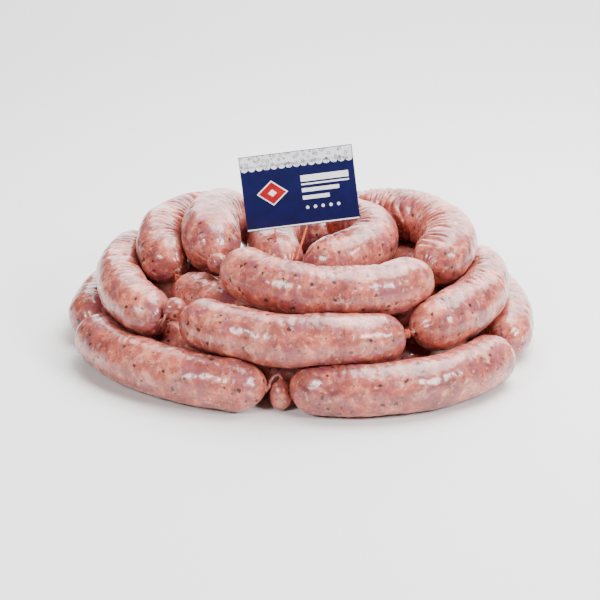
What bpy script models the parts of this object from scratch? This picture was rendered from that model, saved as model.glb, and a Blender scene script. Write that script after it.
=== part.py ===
"""Fresh pork sausage links on their string, coiled up into a pile of three layers, with a card label tied on.

Metres, +Z up. The pile stands on the plane z = 0. The string runs anticlockwise from above: it starts in the
core, fills the bottom layer from the middle outwards, climbs to the second layer and ends on top. It is in
two lengths, and the first one ends at the front of the outer ring.
Each link is a UV sphere drawn out along its own axis, then flattened where it presses on its neighbours.
"""

import math

import bmesh
import bpy
import numpy as np
from mathutils import Vector, noise

COLLECTION = "sausage_string"

# Driving sizes. A link is a natural casing of 33 mm, filled to between 115 and 185 mm from tip to tip.
LINK_RADIUS = 0.0165
GROUND = LINK_RADIUS               # axis height of a link that lies on the ground
SECOND = 0.040                     # axis height of one in the groove between two bottom rings
TOP = 0.063                        # and of one in the groove between two rings of the second layer
END_LENGTH = 1.2                   # length of a rounded end, in link radii
LUMP_SIZE = 0.022                  # the filling's unevenness: how far apart the lumps are
LUMP_HEIGHT = 0.05                 # and how high, in link radii

# Detail of the solids: seen links have more faces than those of the core.
SEEN_SIDES, SEEN_RINGS = 14, 20
CORE_SIDES, CORE_RINGS = 10, 17
NUB_SIDES, NUB_RINGS = 10, 9
TIE_SIDES, TIE_RINGS = 6, 6

# How links lie on each other.
AXIS_POINTS = 21
SQUEEZE = 0.96                     # touching links come this much closer than two hard ones would
SETTLE_ROUNDS = 240
DROP = 0.00016                     # each round lets every link sink this far,
HOLD_PLAN = 0.35                   # pulls it this share of the way back to its place in plan,
HOLD_LEVEL = 0.12                  # this share of the way back to its level
KEEP_SHAPE = 0.5                   # and this share of the way back to its own bend
TIE_SPAN = 0.007                   # the casing between two tied tips
TIE_PULL = 0.30
GAP = 0.0007                       # twice what is left between two pressed faces

# The thread that ties two links together, wound on the twisted casing between them.
TIE_RADIUS = 0.0026
TIE_CLEAR = 0.0003                 # between a tie's end and the link's tip
THREAD_CLEAR = 0.0011              # aimed for between a thread's side and a link, whose lumps stand proud
THREAD_GAP = 0.0009                # the least of it
HOLD_BACK_ROUNDS = 14
CORE_RADIUS = 0.0004               # nothing is drawn in nearer than this to its own axis
SPOT_SHARES = (                    # sixteenths of a face's four corners, for each spot tried on it
    (9, 3, 1, 3), (3, 9, 3, 1), (1, 3, 9, 3), (3, 1, 3, 9), (4, 4, 4, 4), (8, 8, 0, 0), (0, 8, 8, 0),
)
TIE_POINTS = 11
TIE_BOW = 0.7                      # how far a tie swings out where it turns back, as a share of its span

# The card label and its two strings.
LABEL_WIDTH, LABEL_HEIGHT, LABEL_THICKNESS = 0.076, 0.050, 0.0012
LABEL_FOOT = (0.002, -0.010, 0.0785) # the middle of its lower edge, before it is raised clear of the links
LABEL_LEAN = math.radians(15)      # backwards
LABEL_ROLL = math.radians(7)       # its right end stands higher
STRING_RADIUS = 0.0008
STRING_POINTS = 9
STRING_GAP = 0.0005                # between the card and a string
LEFT_STRING, RIGHT_STRING = -0.0195, 0.002  # where they leave the edge, from its middle


def around(radius, degrees, height):
    """The point at this distance and bearing from the pile's middle; 270 degrees is the front."""
    bearing = math.radians(degrees)
    return (radius * math.cos(bearing), radius * math.sin(bearing), height)


def on_ground(radius, degrees):
    return around(radius, degrees, GROUND)


# Each link and each small ball of filling between two links, in string order: name, girth in link radii, then
# the start, middle and finish of its bent axis.
STRING = (
    # the core: one link across the middle of the second layer, and two round it on the ground
    ("link_core_top", 1.0, (0.050, -0.024, 0.038), (0.002, 0.002, 0.024), (-0.046, 0.026, 0.038)),
    ("link_core_left", 1.0, on_ground(0.056, 160), on_ground(0.058, 240), on_ground(0.056, 322)),
    ("link_core_right", 1.0, on_ground(0.056, 332), on_ground(0.058, 55), on_ground(0.064, 137)),
    # the middle ring on the ground
    ("link_middle_left", 1.0, on_ground(0.098, 126), on_ground(0.104, 164), on_ground(0.104, 206)),
    ("link_middle_front", 1.0, on_ground(0.104, 210), on_ground(0.104, 251), on_ground(0.104, 293)),
    ("link_middle_right", 1.0, on_ground(0.104, 298), on_ground(0.104, 340), on_ground(0.104, 382)),
    ("link_middle_back", 1.0, on_ground(0.104, 27), on_ground(0.104, 68), on_ground(0.113, 110)),
    # the outer ring on the ground, where the first length of the string ends in a small ball that stands on end
    ("link_outer_left", 1.03, on_ground(0.135, 124), on_ground(0.138, 159), on_ground(0.141, 194)),
    ("link_outer_front_left", 1.03, on_ground(0.144, 196), on_ground(0.140, 228), on_ground(0.1325, 261)),
    ("nub_outer_front", 0.42, (-0.0122, -0.1275, 0.0180), (-0.0126, -0.1310, 0.0095), (-0.0122, -0.1300, 0.0004)),
    ("link_outer_front_right", 1.02, on_ground(0.128, 267), on_ground(0.148, 296), on_ground(0.150, 329)),
    ("link_outer_right", 1.03, (0.132, -0.062, GROUND), (0.138, 0.016, GROUND), (0.107, 0.092, GROUND)),
    # two links at the back, where the string climbs into the second layer
    ("link_outer_back", 1.0, on_ground(0.143, 46), around(0.144, 70, 0.022), around(0.129, 94, 0.036)),
    ("link_second_back", 1.0, (-0.019, 0.122, SECOND), (-0.068, 0.105, SECOND), (-0.105, 0.063, SECOND)),
    # the second layer, in the groove between the two rings
    ("link_second_left", 1.04, (-0.111, 0.054, 0.037), (-0.121, -0.016, 0.041), (-0.088, -0.087, 0.041)),
    ("nub_second", 0.56, (-0.085, -0.088, 0.0455), (-0.080, -0.0815, 0.0465), (-0.0735, -0.0795, 0.0450)),
    ("link_second_front", 1.03, (-0.071, -0.084, 0.042), (-0.004, -0.125, SECOND), (0.062, -0.106, SECOND)),
    ("link_second_right", 1.08, (0.070, -0.104, 0.042), (0.117, -0.048, 0.043), (0.116, 0.022, 0.036)),
    ("link_climbing_back", 1.0, (0.114, 0.036, 0.041), (0.068, 0.100, 0.046), (-0.026, 0.104, 0.060)),
    # from there over the left side, and down into the inner ring of the second layer
    ("link_top_left", 1.08, (-0.052, 0.084, 0.052), (-0.095, 0.032, 0.060), (-0.082, -0.030, 0.059)),
    ("link_inner_left", 1.02, (-0.079, -0.032, 0.041), (-0.046, -0.064, SECOND), (0.030, -0.076, SECOND)),
    ("link_inner_right", 1.0, (0.040, -0.072, SECOND), (0.082, -0.006, SECOND), (0.056, 0.060, SECOND)),
    ("link_inner_back", 1.0, (0.050, 0.064, SECOND), (0.006, 0.080, SECOND), (-0.042, 0.064, SECOND)),
    # the top layer
    ("link_top_middle_left", 1.22, (-0.052, 0.074, 0.059), (-0.063, 0.022, 0.071), (-0.056, -0.035, 0.061)),
    ("nub_top", 0.58, (-0.0575, -0.0435, 0.064), (-0.0535, -0.0495, 0.066), (-0.0475, -0.0525, 0.0665)),
    ("link_top_front", 1.05, (-0.043, -0.054, 0.064), (0.006, -0.098, TOP), (0.078, -0.065, 0.065)),
    ("link_top_right", 1.16, (0.080, -0.050, 0.062), (0.100, 0.010, 0.061), (0.036, 0.064, 0.060)),
    ("link_top_middle_right", 1.04, (0.014, 0.050, 0.064), (0.050, 0.006, 0.065), (0.004, -0.031, 0.060)),
    ("link_top_middle", 1.05, (-0.010, -0.031, 0.058), (-0.020, 0.012, 0.059), (-0.012, 0.064, 0.058)),
)
LOOSE_END = "nub_outer_front"
CORE_LINKS = (
    "link_core", "link_middle", "link_inner_back", "link_outer_back", "link_second_back", "link_climbing",
)
SURVEY_POINTS = 57


def arc_through(start, middle, finish, count):
    """Evenly spaced points on the circle arc through three points."""
    a, b, c = (np.array(p, float) for p in (start, middle, finish))
    ab, ac = b - a, c - a
    normal = np.cross(ab, ac)
    square = normal @ normal
    centre = a + (np.cross(normal, ab) * (ac @ ac) + np.cross(ac, normal) * (ab @ ab)) / (2 * square)
    radius = np.linalg.norm(a - centre)
    u = (a - centre) / radius
    v = np.cross(normal / math.sqrt(square), u)
    sweep = math.atan2((c - centre) @ v, (c - centre) @ u) % (2 * math.pi)
    turn = np.linspace(0, sweep, count)[:, None]
    return centre + radius * (np.cos(turn) * u + np.sin(turn) * v)


def lengths_along(axis):
    return np.concatenate([[0], np.cumsum(np.linalg.norm(np.diff(axis, axis=0), axis=1))])


def end_shape(length, girth):
    """A link's radius, and the length of the dome at each end, which is half an ellipsoid."""
    radius = min(LINK_RADIUS * girth, length / 2.04)
    return radius, min(radius * END_LENGTH, length / 2)


def link_radius(along, length, girth):
    """The radius at a distance along a link."""
    radius, dome = end_shape(length, girth)
    into = np.clip(np.minimum(along, length - along) / dome, 0, 1)
    return radius * np.sqrt(1 - (1 - into) ** 2)


def inner_radius(along, length, girth):
    """The radius of the largest ball inside a link that is centred at a distance along it."""
    radius, dome = end_shape(length, girth)
    from_end = np.minimum(along, length - along)
    before_middle = np.clip(dome - from_end, 0, None) / math.sqrt(dome ** 2 - radius ** 2)
    ball = radius * np.sqrt(np.clip(1 - before_middle ** 2, 0, 1))
    return np.where(from_end < radius ** 2 / dome, from_end, ball)


def unit(vector):
    return vector / np.linalg.norm(vector)


def rigid_fit(shape, points):
    """The shape, moved and turned to lie as close to the points as it can."""
    from_middle, to_middle = shape.mean(0), points.mean(0)
    u, _, vt = np.linalg.svd((shape - from_middle).T @ (points - to_middle))
    turn = vt.T @ np.diag([1, 1, np.sign(np.linalg.det(vt.T @ u.T))]) @ u.T
    return (shape - from_middle) @ turn.T + to_middle


def settle(axes, radii, light):
    """Lets the links sink on to the ground and on to each other, tied tip to tip, near their places in plan.

    The light ones, the small balls, stay where they are but for what pushes them: they move no link.
    """
    shapes = [axis.copy() for axis in axes]
    count = len(axes)
    points, places = np.concatenate(axes), np.concatenate(axes)
    reach = np.concatenate(radii)
    clear = ((reach[:, None] + reach[None, :]) * SQUEEZE).reshape(-1, count, AXIS_POINTS)
    every = np.arange(len(points))
    own_link = every // AXIS_POINTS
    small = light[own_link]
    for _ in range(SETTLE_ROUNDS):
        points[~small, 2] -= DROP
        points[:, :2] += HOLD_PLAN * (places[:, :2] - points[:, :2])
        points[:, 2] += np.where(small, HOLD_PLAN, HOLD_LEVEL) * (places[:, 2] - points[:, 2])
        for n in np.flatnonzero(~(light[1:] | light[:-1])):
            last, first = (n + 1) * AXIS_POINTS - 1, (n + 1) * AXIS_POINTS
            between = points[first] - points[last]
            span = max(np.linalg.norm(between), 1e-6)
            pull = TIE_PULL * max(span - TIE_SPAN, 0) * between / span
            for k in range(5):
                points[last - k] += pull * (1 - k / 5)
                points[first + k] -= pull * (1 - k / 5)
        between = (points[:, None, :] - points[None, :, :]).reshape(-1, count, AXIS_POINTS, 3)
        distance = np.maximum(np.linalg.norm(between, axis=3), 1e-6)
        overlap = np.maximum(clear - distance, 0)
        overlap[every, own_link] = 0
        overlap[np.ix_(~small, light)] = 0
        worst = overlap.argmax(2)[:, :, None]
        push = np.take_along_axis(overlap, worst, 2) / np.take_along_axis(distance, worst, 2)
        away = np.take_along_axis(between, worst[..., None], 2)[:, :, 0]
        points += 0.4 * (away * push).sum(1)
        points[:, 2] = np.maximum(points[:, 2], reach * SQUEEZE)
        for n, shape in enumerate(shapes):
            own = slice(n * AXIS_POINTS, (n + 1) * AXIS_POINTS)
            points[own] += KEEP_SHAPE * (rigid_fit(shape, points[own]) - points[own])
    return [points[n * AXIS_POINTS:(n + 1) * AXIS_POINTS] for n in range(count)]


class Strand:
    """A bent axis, with the radius along it. A thin one is a tie, even from end to end."""

    def __init__(self, name, axis, girth, thin=False):
        self.name, self.girth, self.thin = name, girth, thin
        self.length = lengths_along(axis)[-1]
        self.along = np.linspace(0, self.length, SURVEY_POINTS)
        self.axis = np.array([np.interp(self.along, lengths_along(axis), axis[:, k]) for k in range(3)]).T
        self.radii = inner_radius(self.along, self.length, girth)
        if thin:
            self.radii = np.full(SURVEY_POINTS, TIE_RADIUS)

    def radius_at(self, along):
        return np.full(len(along), TIE_RADIUS) if self.thin else link_radius(along, self.length, self.girth)

    def at(self, distance):
        return np.array([np.interp(distance, self.along, self.axis[:, k]) for k in range(3)]).T

    def depth(self, points):
        """How far each point is outside this link's even surface; negative inside."""
        first, step = self.axis[:-1], np.diff(self.axis, axis=0)
        share = np.einsum("pik,ik->pi", points[:, None] - first[None], step) / (step * step).sum(1)
        share = np.clip(share, 0, 1)
        nearest = first + share[:, :, None] * step
        radius = self.radii[:-1] + share * np.diff(self.radii)
        return (np.linalg.norm(points[:, None] - nearest, axis=2) - radius).min(1)


def stations(strand, rings):
    """Where along a link its rings lie: close on the domes and even between them. On a tie they are even."""
    length = strand.length
    if strand.thin:
        return np.linspace(0.0003, length - 0.0003, rings - 1)
    _, dome = end_shape(length, strand.girth)
    dome_rings = 3
    steps = 1 - np.cos(np.arange(1, dome_rings + 1) / (dome_rings + 0.6) * math.pi / 2)
    even = np.linspace(dome * 0.95, length - dome * 0.95, rings - 1 - 2 * dome_rings)
    return np.concatenate([dome * steps, even, length - dome * steps[::-1]])


def frames(centres):
    """Two directions square to the axis at each ring, carried along it without twist."""
    tangents = np.gradient(centres, axis=0)
    tangents /= np.linalg.norm(tangents, axis=1)[:, None]
    side = np.cross(tangents[0], (0, 0, 1))
    sides = []
    for tangent in tangents:
        side = unit(side - tangent * (side @ tangent))
        sides.append(side)
    sides = np.array(sides)
    return sides, np.cross(sides, tangents)


def intrusion(strand, points, others):
    """How far each point reaches past the middle of the gap to the nearest neighbour."""
    if strand.thin:
        from_end = np.minimum(*(np.linalg.norm(points - strand.axis[end], axis=1) for end in (0, -1)))
        least = np.minimum(THREAD_GAP, 0.0001 + 0.2 * from_end)
    else:
        least = strand.depth(points) + GAP / 2
    worst = np.full(len(points), -1.0)
    for other in others:
        worst = np.maximum(worst, least - other.depth(points))
    return worst


def pressed(strand, point, centre, others):
    """Each surface point, drawn in towards the axis until it clears the neighbours and the ground."""
    reach = np.maximum(np.linalg.norm(point - centre, axis=1), CORE_RADIUS)
    low, high = CORE_RADIUS / reach, np.ones(len(point))

    def free(share):
        tried = centre + share[:, None] * (point - centre)
        return (tried[:, 2] >= 0) & (intrusion(strand, tried, others) <= 0)

    done = free(high)
    for _ in range(12):
        middle = (low + high) / 2
        fine = free(middle)
        low, high = np.where(fine, middle, low), np.where(fine, high, middle)
    share = np.where(done, 1.0, low)
    return centre + share[:, None] * (point - centre)


def face_spots(faces):
    """Corner numbers and weights of spots spread over each face: its middle, its edges, and between."""
    corners, weights = [], []
    for face in faces:
        ring = list(face) if len(face) == 4 else [*face, face[2]]
        for share in SPOT_SHARES:
            corners.append(ring)
            weights.append([part / 16 for part in share])
    return np.array(corners), np.array(weights)


def held_back(strand, placed, middle, faces, others):
    """The surface, with its corners drawn in until no spot between them reaches into a neighbour."""
    corners, weights = face_spots(faces)
    for _ in range(HOLD_BACK_ROUNDS):
        excess = intrusion(strand, (placed[corners] * weights[..., None]).sum(1), others)
        if excess.max() <= 0:
            break
        need = np.zeros(len(placed))
        np.maximum.at(need, corners, np.maximum(excess, 0)[:, None] * (weights > 0.1))
        inward = middle - placed
        reach = np.maximum(np.linalg.norm(inward, axis=1), CORE_RADIUS)
        step = np.minimum(0.7 * need, np.minimum(0.5 * reach, reach - CORE_RADIUS))
        placed += inward * (step / reach)[:, None]
    return placed


def detail_of(name):
    if name.startswith("tie_"):
        return TIE_SIDES, TIE_RINGS
    if name.startswith("nub_"):
        return NUB_SIDES, NUB_RINGS
    if name.startswith(CORE_LINKS):
        return CORE_SIDES, CORE_RINGS
    return SEEN_SIDES, SEEN_RINGS


def make_link(strand, others, material):
    """A UV sphere whose rings are spread along the link's axis, made lumpy and pressed on its neighbours."""
    sides, rings = detail_of(strand.name)
    shape = bmesh.new()
    bmesh.ops.create_uvsphere(shape, u_segments=sides, v_segments=rings, radius=1)
    start = np.array([v.co for v in shape.verts])
    along = stations(strand, rings)
    centres = strand.at(along)
    across, upward = frames(centres)
    size = strand.radius_at(along)
    lumps = 0 if strand.thin else LUMP_HEIGHT
    seed = Vector((sum(map(ord, strand.name)) * 0.37, 0, 0))
    ring = np.rint(np.arccos(np.clip(start[:, 2], -1, 1)) / math.pi * rings).astype(int)
    turn = np.arctan2(start[:, 1], start[:, 0])
    placed = np.empty_like(start)
    middle = np.empty_like(start)
    for n, (step, angle) in enumerate(zip(ring, turn)):
        if step in (0, rings):
            placed[n] = middle[n] = strand.axis[0 if step == 0 else -1]
            continue
        k = step - 1
        outward = math.cos(angle) * across[k] + math.sin(angle) * upward[k]
        lump = noise.noise(Vector(centres[k] + size[k] * outward) / LUMP_SIZE + seed)
        middle[n] = centres[k]
        placed[n] = centres[k] + size[k] * (1 + lumps * lump) * outward
    near = [other for other in others if other.depth(strand.axis).min() < 1.3 * size.max()]
    body = (ring > 0) & (ring < rings)
    placed[body] = pressed(strand, placed[body], middle[body], near)
    faces = [[vertex.index for vertex in face.verts] for face in shape.faces]
    placed = held_back(strand, placed, middle, faces, near)
    for vertex, spot in zip(shape.verts, placed):
        vertex.co = spot
    if shape.calc_volume(signed=True) < 0:
        bmesh.ops.reverse_faces(shape, faces=shape.faces)
    mesh = bpy.data.meshes.new(strand.name)
    shape.to_mesh(mesh)
    shape.free()
    mesh.shade_smooth()
    return add_piece(bpy.data.objects.new(strand.name, mesh), material)


def add_piece(piece, material):
    bpy.data.collections[COLLECTION].objects.link(piece)
    piece.data.materials.append(material)
    return piece


def plain_material(name, colour, roughness):
    material = bpy.data.materials.new(name)
    material.use_nodes = True
    shader = material.node_tree.nodes["Principled BSDF"]
    shader.inputs["Base Color"].default_value = (*colour, 1)
    shader.inputs["Roughness"].default_value = roughness
    return material


def make_tube(name, path, radius, resolution, material):
    """A round thread along a path, closed at both ends."""
    curve = bpy.data.curves.new(name, "CURVE")
    curve.dimensions = "3D"
    curve.bevel_depth = radius
    curve.bevel_resolution = resolution
    curve.use_fill_caps = True
    line = curve.splines.new("POLY")
    line.points.add(len(path) - 1)
    for point, spot in zip(line.points, path):
        point.co = (*spot, 1)
    return add_piece(bpy.data.objects.new(name, curve), material)


def tie_path(before, after, strands):
    """The twisted casing from one link's tip to the next one's, bent clear of every link."""
    out, back = unit(before.axis[-1] - before.axis[-3]), unit(after.axis[0] - after.axis[2])
    start, finish = before.axis[-1] + TIE_CLEAR * out, after.axis[0] + TIE_CLEAR * back
    span = np.linalg.norm(finish - start)
    ahead = (finish - start) / span
    handles = span * (0.4 + TIE_BOW * np.array([1 - out @ ahead, 1 + back @ ahead]))
    share = np.linspace(0, 1, TIE_POINTS)[:, None]
    first = (1 - share) * start + share * (start + handles[0] * out)
    second = (1 - share) * (start + handles[0] * out) + share * (finish + handles[1] * back)
    third = (1 - share) * (finish + handles[1] * back) + share * finish
    path = (1 - share) ** 2 * first + 2 * (1 - share) * share * second + share ** 2 * third
    return clear_path(path, TIE_RADIUS, strands)


def label_frame():
    """The label's foot, and its directions to the right, up its face and out of its front."""
    back_tilted = np.array([0, math.sin(LABEL_LEAN), math.cos(LABEL_LEAN)])
    right = np.array([math.cos(LABEL_ROLL), 0, 0]) + math.sin(LABEL_ROLL) * back_tilted
    up = np.array([-math.sin(LABEL_ROLL), 0, 0]) + math.cos(LABEL_ROLL) * back_tilted
    return np.array(LABEL_FOOT), right, up, np.cross(right, up)


def raised_foot(strands):
    """The label's foot, moved up its own plane until the whole card is clear of the links."""
    foot, right, up, front = label_frame()
    width = np.linspace(-LABEL_WIDTH / 2, LABEL_WIDTH / 2, 39)[:, None, None, None] * right
    height = np.linspace(0, LABEL_HEIGHT, 26)[None, :, None, None] * up
    depth = np.array([-1, 1])[None, None, :, None] * LABEL_THICKNESS / 2 * front
    card = (foot + width + height + depth).reshape(-1, 3)
    while min(strand.depth(card).min() for strand in strands) < 0.0009:
        card += 0.0004 * up
        foot = foot + 0.0004 * up
    return foot


def make_label(strands, material):
    """A thin card with rounded corners, standing on the top links."""
    foot, right, up, front = label_frame()
    foot = raised_foot(strands)
    shape = bmesh.new()
    bmesh.ops.create_cube(shape, size=1)
    bmesh.ops.scale(shape, verts=shape.verts, vec=(LABEL_WIDTH, LABEL_HEIGHT, LABEL_THICKNESS))
    half = LABEL_THICKNESS / 2
    corners = [edge for edge in shape.edges if abs(edge.verts[0].co.z - edge.verts[1].co.z) > half]
    bmesh.ops.bevel(shape, geom=corners, offset=0.0015, segments=2, affect="EDGES", profile=0.5)
    for vertex in shape.verts:
        x, y, z = vertex.co
        vertex.co = foot + x * right + (y + LABEL_HEIGHT / 2) * up + z * front
    mesh = bpy.data.meshes.new("label_card")
    shape.to_mesh(mesh)
    shape.free()
    add_piece(bpy.data.objects.new("label_card", mesh), material)
    return foot, right, up, front


def clear_path(path, radius, strands, loose_end=False):
    """The path, evened out and pushed clear of every link and of the ground. Only a loose end moves."""
    step = 1e-4
    free = slice(1, None if loose_end else -1)
    from_tip = np.linalg.norm(path[free] - path[0], axis=1)
    if not loose_end:
        from_tip = np.minimum(from_tip, np.linalg.norm(path[free] - path[-1], axis=1))
    clearance = np.minimum(radius + THREAD_CLEAR, 0.9 * from_tip)
    for turn in range(60):
        for strand in strands:
            spots = path[free]
            lack = clearance - strand.depth(spots)
            slope = np.array([strand.depth(spots + step * np.eye(3)[k]) for k in range(3)]).T
            slope = (slope - strand.depth(spots)[:, None]) / step
            path[free] += 0.5 * np.maximum(lack, 0)[:, None] * slope
        if turn < 45:
            path[1:-1] += 0.3 * ((path[:-2] + path[2:]) / 2 - path[1:-1])
        path[free, 2] = np.maximum(path[free, 2], radius)
    return path


def make_strings(card, tie, strands, material):
    """Two ends of one twine at the card's lower edge: the left one cut short, the right one down to a tie."""
    foot, right, up, front = card
    edge = foot - STRING_GAP * up + (LABEL_THICKNESS / 2 + STRING_RADIUS + STRING_GAP) * front
    share = np.linspace(0, 1, STRING_POINTS)[:, None]
    short = edge + LEFT_STRING * right + share * np.array([0.001, -0.009, -0.003])
    short = clear_path(short, STRING_RADIUS, strands, loose_end=True)
    make_tube("label_string_left", short, STRING_RADIUS, 2, material)
    start = edge + RIGHT_STRING * right
    end = tie.mean(0) + np.array([0, 0, TIE_RADIUS + STRING_RADIUS + 3 * TIE_CLEAR])
    down = clear_path(start + share * (end - start), STRING_RADIUS, strands)
    make_tube("label_string_right", down, STRING_RADIUS, 2, material)


def clear_scene():
    for old in list(bpy.data.objects):
        bpy.data.objects.remove(old, do_unlink=True)


def settled_strands():
    axes = [arc_through(*path, AXIS_POINTS) for _, _, *path in STRING]
    radii = []
    for axis, (_, girth, *_) in zip(axes, STRING):
        along = lengths_along(axis)
        radii.append(inner_radius(along, along[-1], girth))
    light = np.array([name.startswith("nub_") for name, *_ in STRING])
    axes = settle(axes, radii, light)
    return [Strand(name, axis, girth) for axis, (name, girth, *_) in zip(axes, STRING)]


def centre_on_footprint(collection):
    """Moves the whole pile so that the middle of its footprint is at the origin."""
    bpy.context.view_layer.update()
    corners = np.array([corner[:] for piece in collection.objects for corner in piece.bound_box])
    middle = (corners.min(0) + corners.max(0)) / 2
    for piece in collection.objects:
        piece.location = (-middle[0], -middle[1], 0)


def main():
    clear_scene()
    collection = bpy.data.collections.new(COLLECTION)
    bpy.context.scene.collection.children.link(collection)
    meat = plain_material("fresh_pork_in_casing", (0.62, 0.34, 0.28), 0.35)
    twine = plain_material("orange_and_white_twine", (0.80, 0.33, 0.12), 0.8)
    strands = settled_strands()
    for strand in strands:
        make_link(strand, [other for other in strands if other is not strand], meat)
    card = plain_material("printed_card", (0.02, 0.03, 0.16), 0.25)
    placed_card = make_label(strands, card)
    pairs = [pair for pair in zip(strands, strands[1:]) if pair[0].name != LOOSE_END]
    for n, (before, after) in enumerate(pairs, start=1):
        path = tie_path(before, after, strands)
        make_link(Strand(f"tie_{n:02d}", path, 1, thin=True), strands, twine)
    make_strings(placed_card, path, strands, twine)
    centre_on_footprint(collection)


if __name__ == "__main__":
    main()
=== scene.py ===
"""The looks of a pile of raw pork sausage links, still joined in a string, with a card label.

Metres, +Z up. Every link is a UV sphere laid over the rings of its CAD solid and smoothed between
them, then folded over the top and the inside of its bend and gathered at its tied tips. The ties,
the strings and the label are built on theirs.
"""

import math

import bmesh
import bpy
import numpy as np
from mathutils import Matrix, Vector, noise


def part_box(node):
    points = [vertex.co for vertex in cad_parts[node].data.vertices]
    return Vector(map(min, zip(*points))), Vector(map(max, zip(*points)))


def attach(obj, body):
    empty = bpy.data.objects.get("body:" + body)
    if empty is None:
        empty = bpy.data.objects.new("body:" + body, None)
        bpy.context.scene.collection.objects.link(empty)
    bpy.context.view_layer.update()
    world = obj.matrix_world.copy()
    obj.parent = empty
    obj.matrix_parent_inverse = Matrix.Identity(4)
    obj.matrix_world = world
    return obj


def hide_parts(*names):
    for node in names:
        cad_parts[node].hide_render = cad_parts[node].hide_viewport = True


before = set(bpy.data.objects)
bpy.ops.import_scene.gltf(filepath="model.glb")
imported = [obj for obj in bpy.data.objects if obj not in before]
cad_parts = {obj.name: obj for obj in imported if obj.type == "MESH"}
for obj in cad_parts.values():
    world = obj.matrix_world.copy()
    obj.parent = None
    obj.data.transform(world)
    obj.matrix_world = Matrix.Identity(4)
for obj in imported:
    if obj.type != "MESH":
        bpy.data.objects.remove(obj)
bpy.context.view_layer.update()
MM = 0.001

# The photograph's view: a long lens, 21 degrees above the surface that the pile lies on.
CAMERA_TARGET = Vector((-0.3, 0.4, 21)) * MM
CAMERA_DISTANCE = 1100 * MM
CAMERA_ELEVATION = math.radians(21.4)
SENSOR_WIDTH = 36.0
LENS = 96.0

# The studio. The lights all face the pile: name, place and width in metres, and watts.
SOFTBOXES = (
    ("overhead_softbox", (0.3, 0.15, 0.95), 0.8, 29.0),
    ("back_softbox", (0.25, 1.6, 1.05), 2.4, 92.0),
    ("left_softbox", (-0.75, -0.9, 0.8), 0.3, 13.0),
    ("right_softbox", (0.95, -0.75, 0.75), 0.38, 23.0),
)
WORLD_STRENGTH = 0.08
FLOOR_WIDTH = 12

# Corners closer than this are one corner.
SAME_PLACE = 1e-6

# Fineness of a surface: faces round it and along it.
SEEN_LINK_FACES = 112, 250
HIDDEN_LINK_FACES = 56, 84
BALL_FACES = 64, 48
NECK_FACES = 36, 40
HIDDEN_LINKS = ("link_core", "link_middle", "link_inner_back", "link_outer_back")

# Relief of the casing: uneven lumps, the grain of the grind, and fine ripples round the link.
CASING_WIDTH = 33 * MM
LUMP_WIDTH, LUMP_DEPTH = 11 * MM, 0.45 * MM
GRIND_WIDTH, GRIND_DEPTH = 3.6 * MM, 0.16 * MM
RIPPLE_WIDTH, RIPPLE_DEPTH = 2.8 * MM, 0.13 * MM
RIPPLE_STRETCH = 0.16
# The last share of the way to a tip in which all relief fades out.
TIP_SHARE = 1 / 60

# Folds across a bent link: narrow valleys between wider pillows.
WRINKLE_SPACING, WRINKLE_DEPTH = 6.4 * MM, 2.7 * MM
WRINKLE_SHARPNESS = 0.6
# They lie on the inside and the top of the bend, from -1 outside to 1 inside: none up to the
# first of these, and all of them from the second on.
WRINKLE_OUTSIDE, WRINKLE_INSIDE = -0.75, 0.15
# They drift by up to this many spacings over this width, so that they bunch up and fan out.
WRINKLE_DRIFT, WRINKLE_DRIFT_WIDTH = 2.0, 26 * MM
# Over this width they are deeper and shallower: the middle, how much it varies, and its limits.
WRINKLE_UNEVEN_WIDTH = 15 * MM
WRINKLE_STRENGTH, WRINKLE_UNEVEN = 0.65, 1.5
WRINKLE_LEAST, WRINKLE_MOST = 0.05, 1.2
# How far from a tip the folds start, and reach their depth.
WRINKLE_START, WRINKLE_FULL = 6 * MM, 20 * MM
# The links whose casing lies in deep folds, with how deep; it is nearly smooth on the others.
FOLDED = {
    "link_second_left": 0.9,
    "link_top_left": 1.0,
    "link_top_middle_left": 0.7,
    "link_top_middle_right": 0.8,
    "link_top_right": 1.0,
    "link_second_right": 1.1,
}
NEARLY_SMOOTH = 0.3

# Creases where the casing is drawn together at a tied tip: how many, and how sharp. The two ends
# of a link have them at other places round it, a share of a turn apart.
GATHER_LENGTH, GATHER_DEPTH = 15 * MM, 1.5 * MM
GATHER_CREASES = 9
GATHER_FADE = 1.6
GATHER_SHARPNESS = 0.8
GATHER_SHIFT = 0.37

# The filling as it shows through the casing: a grain of the grind, and stretches with more lean
# or more fat.
GRAIN = 4.2 * MM
BATCH = 12 * MM
# The width in metres of the lumps of a noise texture at scale 1.
NOISE_LUMP = 0.6
# How much a fleck's outline wanders, in shares of its size.
FLECK_WOBBLE = 1.1

# Ties. A neck is a pleated rope of casing. It starts a little inside each link and flares out
# over its tip, and less so over the tip of a ball of filling that is as near as NEAR_BALL.
NECK_RADIUS = 1.4 * MM
NECK_FLARE = 3.8 * MM
NECK_FLARE_LENGTH, NECK_FLARE_CURVE = 1.9 * MM, 1.5
BALL_FLARE = 1.8 * MM
NEAR_BALL = 3 * MM
NECK_INSIDE = 1.4 * MM
NECK_POINTS = 60
NECK_PLEATS, NECK_PLEAT_DEPTH = 7, 0.17
NECK_LAY = 22 * MM
# A neck longer than this is drawn out thinner, down to the least share of its radius.
NECK_FULL_LENGTH, NECK_LEAST = 9 * MM, 0.6
# Of the sphere under a neck, the shares next to a pole that lie in the neck's flat end, and in
# the very middle of that.
NECK_CAP, NECK_POLE = 0.03, 0.02

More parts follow.
